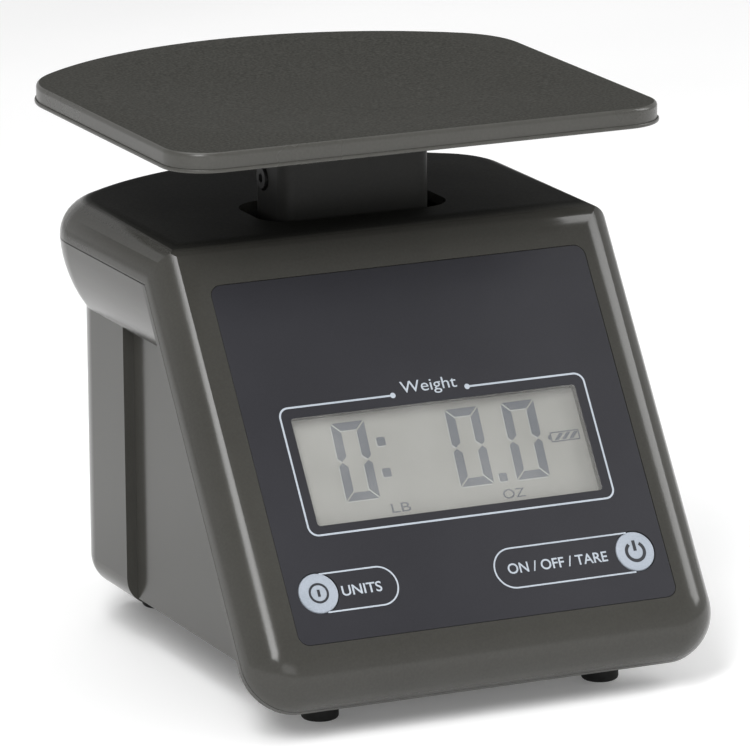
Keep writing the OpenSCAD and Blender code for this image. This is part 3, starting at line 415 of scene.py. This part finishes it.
def platform_mesh():
    """The dished plate with its rolled rim, as rings from the rim in to the middle."""
    rings = []
    edge_r = 0.0011
    lip = 0.0005
    # the underside of the rim, its little lip, the upright side and the rounded top edge
    profile = [(PLATE_T, RIM_LOW + 0.0003), (PLATE_T - 0.0003, RIM_LOW),
               (lip + 0.0006, RIM_LOW)]
    for i in range(5):
        a = math.pi / 2 * i / 4
        profile.append((0.0003 - 0.0003 * math.sin(a), RIM_LOW + 0.0003 - 0.0003 * math.cos(a)))
    profile.append((0.0, RIM_LOW + 0.0007))
    for i in range(1, 5):
        a = math.pi / 2 * i / 4
        profile.append((lip * (1 - math.cos(a)), RIM_LOW + 0.0007 + 0.0003 * math.sin(a)))
    profile.append((lip, RIM_TOP - edge_r - 0.0001))
    for i in range(0, 9):
        a = math.pi / 2 * i / 8
        profile.append((lip + edge_r * (1 - math.cos(a)), RIM_TOP - edge_r + edge_r * math.sin(a)))
    for inset, z in profile:
        rings.append([(x, y, z) for x, y in platform_outline(inset)])
    last = platform_outline(profile[-1][0])
    for i in range(1, TOP_RINGS):
        t = (i / TOP_RINGS) ** 0.9
        ring = []
        for x, y in last:
            px, py = x * (1 - t), DISH_Y + (y - DISH_Y) * (1 - t)
            ring.append((px, py, dish_height(px, py)))
        rings.append(ring)
    under = []
    inner = platform_outline(PLATE_T)
    for i in range(UNDER_RINGS):
        t = i / UNDER_RINGS
        ring = []
        for x, y in inner:
            px, py = x * (1 - t), DISH_Y + (y - DISH_Y) * (1 - t)
            ring.append((px, py, dish_height(px, py) - PLATE_T))
        under.append(ring)
    points, faces = [], []
    count = len(last)
    for ring in rings:
        points += ring
    for r in range(len(rings) - 1):
        for k in range(count):
            a, b = r * count + k, r * count + (k + 1) % count
            faces.append((a, b, b + count, a + count))
    top_centre = len(points)
    points.append((0, DISH_Y, dish_height(0, DISH_Y)))
    start = (len(rings) - 1) * count
    for k in range(count):
        faces.append((start + k, start + (k + 1) % count, top_centre))
    base = len(points)
    for ring in under:
        points += ring
    for r in range(len(under) - 1):
        for k in range(count):
            a, b = base + r * count + k, base + r * count + (k + 1) % count
            faces.append((a, a + count, b + count, b))
    for k in range(count):
        faces.append((k, base + k, base + (k + 1) % count, (k + 1) % count))
    low_centre = len(points)
    points.append((0, DISH_Y, dish_height(0, DISH_Y) - PLATE_T))
    start = base + (len(under) - 1) * count
    for k in range(count):
        faces.append((start + (k + 1) % count, start + k, low_centre))
    mesh = bpy.data.meshes.new("platform_plate")
    mesh.from_pydata(points, [], faces)
    b = bmesh.new()
    b.from_mesh(mesh)
    bmesh.ops.recalc_face_normals(b, faces=b.faces)
    for edge in b.edges:
        if len(edge.link_faces) == 2 and edge.calc_face_angle(0) > math.radians(50):
            edge.smooth = False
    b.to_mesh(mesh)
    b.free()
    return mesh


def rounded_slab(name, x, y, r, z0, z1, edge):
    """A block with round upright corners and softened rims, centred on x = 0."""
    def ring(inset, z):
        points = []
        for cx, cy, start in ((x - r, y[1] - r, 0), (-x + r, y[1] - r, 90),
                              (-x + r, y[0] + r, 180), (x - r, y[0] + r, 270)):
            for i in range(9):
                a = math.radians(start + i * 90 / 8)
                points.append((cx + (r - inset) * math.cos(a),
                               cy + (r - inset) * math.sin(a), z))
        return points
    rings = [ring(edge, z0), ring(edge * 0.3, z0 + edge * 0.3), ring(0, z0 + edge),
             ring(0, z1 - edge), ring(edge * 0.3, z1 - edge * 0.3), ring(edge, z1)]
    count = len(rings[0])
    points = [p for each in rings for p in each]
    faces = [tuple(range(count))[::-1], tuple(range(5 * count, 6 * count))]
    for r_ in range(5):
        for k in range(count):
            a, b = r_ * count + k, r_ * count + (k + 1) % count
            faces.append((a, b, b + count, a + count))
    mesh = bpy.data.meshes.new(name)
    mesh.from_pydata(points, [], faces)
    return mesh


plate = piece("platform_plate", platform_mesh(), "weighing_side", platform_plastic)
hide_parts("platform")
post_low, post_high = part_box("post")
PAD_REACH = 0.002       # how far the pad stands out past the post
pad_mesh = rounded_slab("platform_pad", (post_high.x - post_low.x) / 2 + PAD_REACH,
                        (post_low.y - PAD_REACH, post_high.y + PAD_REACH), 0.005,
                        post_high.z + 0.00002, post_high.z + 0.0012, 0.0002)
piece("platform_pad", pad_mesh, "weighing_side", platform_plastic)

# ---- printed artwork and display, drawn in mm on the face ----


def drawn(name, outlines, w, thick, body, material, holes=()):
    """Flat shapes, as closed outlines in mm across and up the face, as a thin piece."""
    curve = bpy.data.curves.new(name, "CURVE")
    curve.dimensions = "2D"
    curve.fill_mode = "BOTH"
    curve.extrude = thick / 2
    for outline in list(outlines) + list(holes):
        spline = curve.splines.new("POLY")
        spline.points.add(len(outline) - 1)
        for point, (x, y) in zip(spline.points, outline):
            point.co = (x, y, 0, 1)
        spline.use_cyclic_u = True
    flat_piece(name, curve_mesh(name, curve), w, body, material)


def curve_mesh(name, curve):
    """The mesh of a filled curve, in the curve's own mm."""
    temp = bpy.data.objects.new(name + "_line", curve)
    bpy.context.scene.collection.objects.link(temp)
    bpy.context.view_layer.update()
    mesh = bpy.data.meshes.new_from_object(
        temp.evaluated_get(bpy.context.evaluated_depsgraph_get()))
    bpy.data.objects.remove(temp)
    bpy.data.curves.remove(curve)
    mesh.name = name
    return mesh


def flat_piece(name, mesh, w, body, material):
    """Lays a flat mesh on the face, w mm in from the face plane."""
    mesh.transform(face_matrix(w))
    b = bmesh.new()
    b.from_mesh(mesh)
    bmesh.ops.remove_doubles(b, verts=b.verts, dist=PRINT_WELD)
    bmesh.ops.recalc_face_normals(b, faces=b.faces)
    b.to_mesh(mesh)
    b.free()
    piece(name, mesh, body, material)
    for polygon in mesh.polygons:
        polygon.use_smooth = False


def arc(cx, cy, r, start, end, steps=24):
    """Points along an arc between two angles in degrees."""
    return [(cx + r * math.cos(math.radians(start + (end - start) * i / steps)),
             cy + r * math.sin(math.radians(start + (end - start) * i / steps)))
            for i in range(steps + 1)]


def circle(cx, cy, r, steps=64):
    return arc(cx, cy, r, 0, 360 * (1 - 1 / steps), steps - 1)


def stroke(path, width):
    """The outline of an open line of one width through points."""
    left, right = [], []
    for i, (x, y) in enumerate(path):
        x0, y0 = path[max(i - 1, 0)]
        x1, y1 = path[min(i + 1, len(path) - 1)]
        length = math.hypot(x1 - x0, y1 - y0)
        nx, ny = -(y1 - y0) / length * width / 2, (x1 - x0) / length * width / 2
        left.append((x + nx, y + ny))
        right.append((x - nx, y - ny))
    return left + right[::-1]


FONT_SIZE = 10
CAPITAL = 7.2       # height of a capital at that size


def lettering(name, text, left, right, base, height, bold, body, material, w, thick):
    """Plain words fitted between two sides and to a capital height, in mm."""
    curve = bpy.data.curves.new(name, "FONT")
    curve.body = text
    curve.size = FONT_SIZE
    curve.fill_mode = "BOTH"
    curve.extrude = thick / 2
    curve.offset = bold
    mesh = curve_mesh(name, curve)
    xs = [v.co.x for v in mesh.vertices]
    low = min(xs)
    wide = (right - left) / (max(xs) - low)
    tall = height / CAPITAL
    for v in mesh.vertices:
        v.co.x = left + (v.co.x - low) * wide
        v.co.y = base + v.co.y * tall
    flat_piece(name, mesh, w, body, material)


PRINT_W = 0.085         # mm from the face plane in to the print
PRINT_T = 0.03          # mm, thickness drawn for the print
FRAME_LINE = 0.5
KEY_LINE = 0.42
BOLD = 0.12
CASE = "case"

# line around the display, broken at the top for the word
frame_left, frame_right, frame_low, frame_top, frame_r = -43.2, 43.3, 59.5, 94.45, 2.6
word_left, word_right = -10.84, 10.3
around = ([(word_left, frame_top)]
          + arc(frame_left + frame_r, frame_top - frame_r, frame_r, 90, 180)
          + arc(frame_left + frame_r, frame_low + frame_r, frame_r, 180, 270)
          + arc(frame_right - frame_r, frame_low + frame_r, frame_r, 270, 360)
          + arc(frame_right - frame_r, frame_top - frame_r, frame_r, 0, 90)
          + [(word_right, frame_top)])
drawn("print_display_line", [stroke(around, FRAME_LINE)], PRINT_W, PRINT_T, CASE, ink)
drawn("print_line_dots",
      [circle(word_left, frame_top, 0.75, 32), circle(word_right, frame_top, 0.75, 32)],
      PRINT_W - 0.01, PRINT_T, CASE, ink)
lettering("print_weight_word", "Weight", -8.2, 7.6, 94.75, 3.3, 0.0, CASE, ink,
          PRINT_W, PRINT_T)


def capsule(name, outer, middle, half_height, key_centre, disc_r):
    """A rounded line beside a key, open where the key's disc meets it."""
    side = 1 if outer > key_centre else -1
    reach = math.sqrt(max(disc_r ** 2 - half_height ** 2, 0.01))
    x0 = key_centre + side * reach
    end = outer - side * half_height
    turn = -180 * side
    path = ([(x0, middle + half_height)]
            + arc(end, middle, half_height, 90, 90 + turn, 40)
            + [(x0, middle - half_height)])
    drawn(name, [stroke(path, KEY_LINE)], PRINT_W, PRINT_T, CASE, ink)


capsule("print_units_line", -22.9, 44.12, 5.18, -44.95, 5.35)
capsule("print_power_line", 4.55, 44.1, 5.4, 44.85, 5.55)
lettering("print_units_word", "UNITS", -38.5, -27.4, 42.75, 2.75, BOLD, CASE, ink,
          PRINT_W, PRINT_T)
lettering("print_power_words", "ON / OFF / TARE", 8.2, 36.6, 42.65, 2.8, BOLD, CASE, ink,
          PRINT_W, PRINT_T)

# key marks
UNITS_X, UNITS_V = -44.85, 44.3
POWER_X, POWER_V = 44.85, 44.3
drawn("units_mark", [circle(UNITS_X, UNITS_V, 2.75), stroke([(UNITS_X, UNITS_V - 0.95),
      (UNITS_X, UNITS_V + 0.95)], 0.75)], PRINT_W, PRINT_T, "units_button", icon_ink,
      holes=[circle(UNITS_X, UNITS_V, 2.15)])
drawn("power_mark", [stroke(arc(POWER_X, POWER_V - 0.1, 2.5, 125, 415, 48), 0.9),
      stroke([(POWER_X, POWER_V + 0.1), (POWER_X, POWER_V + 2.95)], 0.9)], PRINT_W, PRINT_T,
      "power_button", icon_ink)

# display: pale reflector, grey segments and their faint shade
DIGIT_W, DIGIT_H, STEM, SLANT, GAP = 9.4, 21.4, 2.5, 0.9, 0.28
LCD_V = 68.4            # mm up the slope to the foot of the digits
SEGMENT_W = 3.04        # mm in from the face plane to the segments and to their shade
SHADE_W = 3.075
SEGMENT_T = 0.02
SHADE_SHIFT = (-0.30, -0.28)
THIN = -0.02
DOT_CORNER = 0.35


def segments(left, low):
    """The six lit segments of a zero, leaning a little to the right."""
    w, h, t, g = DIGIT_W, DIGIT_H, STEM, GAP
    m = h / 2
    top = [(g, h), (w - g, h), (w - t, h - t + g), (t, h - t + g)]
    upper = [(w, h - g), (w, m + t * 0.42), (w - t * 0.42, m + g * 0.6),
             (w - t, m + t * 0.55), (w - t, h - t - g)]
    shapes = [top, [(x, h - y) for x, y in top], upper, [(w - x, y) for x, y in upper],
              [(x, h - y) for x, y in upper], [(w - x, h - y) for x, y in upper]]
    return [[(left + x + SLANT * y / h, low + y) for x, y in s] for s in shapes]


def square(cx, cy, size):
    """A dot of the display: a square with slightly rounded corners."""
    r = DOT_CORNER
    h = size / 2
    return (arc(cx + h - r, cy + h - r, r, 0, 90, 6) + arc(cx - h + r, cy + h - r, r, 90, 180, 6)
            + arc(cx - h + r, cy - h + r, r, 180, 270, 6)
            + arc(cx + h - r, cy - h + r, r, 270, 360, 6))


marks = (segments(-29.6, LCD_V) + segments(2.75, LCD_V) + segments(18.8, LCD_V)
         + [square(-16.0, 83.45, 2.4), square(-16.6, 74.9, 2.4), square(15.1, 69.7, 2.3)])
shade_x, shade_y = SHADE_SHIFT
drawn("lcd_digits", marks, SEGMENT_W, SEGMENT_T, CASE, lcd_ink)
drawn("lcd_digit_shade", [[(x + shade_x, y + shade_y) for x, y in m] for m in marks],
      SHADE_W, SEGMENT_T, CASE, lcd_faint)
lettering("lcd_pounds", "LB", -17.9, -12.5, 63.9, 2.6, THIN, CASE, lcd_ink,
          SEGMENT_W, SEGMENT_T)
lettering("lcd_ounces", "OZ", 13.8, 20.0, 63.8, 2.6, THIN, CASE, lcd_ink,
          SEGMENT_W, SEGMENT_T)

# battery symbol: a box with a nub and three slanted bars
cell_left, cell_right, cell_low, cell_top = 31.2, 39.5, 77.4, 80.2
cell_box = [(cell_left, cell_low), (cell_right, cell_low), (cell_right, cell_top),
            (cell_left, cell_top)]
inner_box = [(cell_left + 0.3, cell_low + 0.3), (cell_right - 0.3, cell_low + 0.3),
             (cell_right - 0.3, cell_top - 0.3), (cell_left + 0.3, cell_top - 0.3)]
bars = []
for i in range(3):
    x = cell_left + 0.9 + i * 2.1
    bars.append([(x, cell_low + 0.5), (x + 1.25, cell_low + 0.5), (x + 3.0, cell_top - 0.5),
                 (x + 1.75, cell_top - 0.5)])
nub = [(cell_left - 0.7, cell_low + 0.8), (cell_left - 0.05, cell_low + 0.8),
       (cell_left - 0.05, cell_top - 0.8), (cell_left - 0.7, cell_top - 0.8)]
drawn("lcd_battery_mark", [cell_box, nub] + bars, SEGMENT_W, SEGMENT_T, CASE, lcd_ink,
      holes=[inner_box])

# ---- studio ----


def floor_mesh():
    """A wide round floor with a low curved rim, open to the air on every side."""
    count, rim_rise, rim_width = 96, 0.12, 0.6
    radii = [0.3, 0.8, 1.6, 2.6, 3.6]
    rings = [(r, 0.0) for r in radii]
    for step in range(1, 9):
        t = step / 8
        rings.append((radii[-1] + rim_width * t, rim_rise * t * t))
    points, faces = [(0, 0, 0)], []
    for r, z in rings:
        for k in range(count):
            a = math.tau * k / count
            points.append((r * math.cos(a), r * math.sin(a), z))
    for k in range(count):
        faces.append((0, 1 + k, 1 + (k + 1) % count))
    for ring in range(len(rings) - 1):
        start = 1 + ring * count
        for k in range(count):
            a, b = start + k, start + (k + 1) % count
            faces.append((a, a + count, b + count, b))
    mesh = bpy.data.meshes.new("studio_floor")
    mesh.from_pydata(points, [], faces)
    for polygon in mesh.polygons:
        polygon.use_smooth = True
    return mesh


PAPER_GLOW = 0.12

floor = bpy.data.objects.new("studio_floor", floor_mesh())
paper = finish("studio_paper", (0.90, 0.90, 0.90), (0.91, 0.91, 0.91), (0.85, 0.9),
               grain=3, grain_depth=0.0, mottle=1)
paper_shader = next(n for n in paper.node_tree.nodes if n.type == "BSDF_PRINCIPLED")
paper_shader.inputs["Emission Color"].default_value = (1, 1, 1, 1)
paper_shader.inputs["Emission Strength"].default_value = PAPER_GLOW
floor.data.materials.append(paper)
bpy.context.scene.collection.objects.link(floor)

world = bpy.data.worlds.new("studio_air")
bpy.context.scene.world = world
world.use_nodes = True

# the air is brightest at the horizon and dims towards the top
sky = world.node_tree
direction = sky.nodes.new("ShaderNodeTexCoord").outputs["Generated"]
height = sky.nodes.new("ShaderNodeSeparateXYZ")
sky.links.new(direction, height.inputs["Vector"])
shade = sky.nodes.new("ShaderNodeMapRange")
for socket, value in (("From Min", 0.05), ("From Max", 0.75), ("To Min", 0.72), ("To Max", 0.25)):
    shade.inputs[socket].default_value = value
sky.links.new(height.outputs["Z"], shade.inputs["Value"])
sky.links.new(shade.outputs["Result"], sky.nodes["Background"].inputs["Strength"])
sky.nodes["Background"].inputs["Color"].default_value = (1.0, 1.0, 1.0, 1)


def lamp(name, place, target, size, power):
    """A white rectangular softbox aimed at a point."""
    data = bpy.data.lights.new(name, "AREA")
    data.shape = "RECTANGLE"
    data.size, data.size_y = size
    data.energy = power
    o = bpy.data.objects.new(name, data)
    o.location = place
    o.rotation_euler = (Vector(target) - Vector(place)).to_track_quat("-Z", "Y").to_euler()
    bpy.context.scene.collection.objects.link(o)


# name, place, point aimed at, size in metres, power in watts
lamp("soft_top", (-0.1, 0.35, 1.5), (0, 0, 0.05), (1.2, 0.9), 8.5)
lamp("box_left", (-0.66, -0.68, 1.02), (0, 0, 0.09), (0.36, 0.9), 12)
lamp("box_right", (1.02, -0.33, 0.80), (0, 0, 0.09), (0.44, 0.9), 8)
lamp("fill_front", (-0.5, -1.8, 0.5), (0, 0, 0.08), (0.8, 0.6), 2.5)

# ---- camera ----

AZIMUTH, ELEVATION, ROLL = (math.radians(a) for a in (-24.396, 14.18, -0.527))
TARGET = Vector((-12.786, -40.183, 82.125)) * MM
DISTANCE = 1858.6 * MM
back = Vector((math.sin(AZIMUTH) * math.cos(ELEVATION),
               -math.cos(AZIMUTH) * math.cos(ELEVATION), math.sin(ELEVATION)))
right = Vector((math.cos(AZIMUTH), math.sin(AZIMUTH), 0))
up = back.cross(right)
tilted_right = right * math.cos(ROLL) + up * math.sin(ROLL)
tilted_up = up * math.cos(ROLL) - right * math.sin(ROLL)
camera = bpy.data.objects.new("camera", bpy.data.cameras.new("camera"))
camera.data.lens = 345.5
camera.data.sensor_width = 36
camera.data.clip_end = 20
matrix = Matrix((tilted_right, tilted_up, back)).transposed().to_4x4()
matrix.translation = TARGET + back * DISTANCE
camera.matrix_world = matrix
bpy.context.scene.collection.objects.link(camera)
bpy.context.scene.camera = camera
bpy.context.scene.view_settings.view_transform = "Standard"
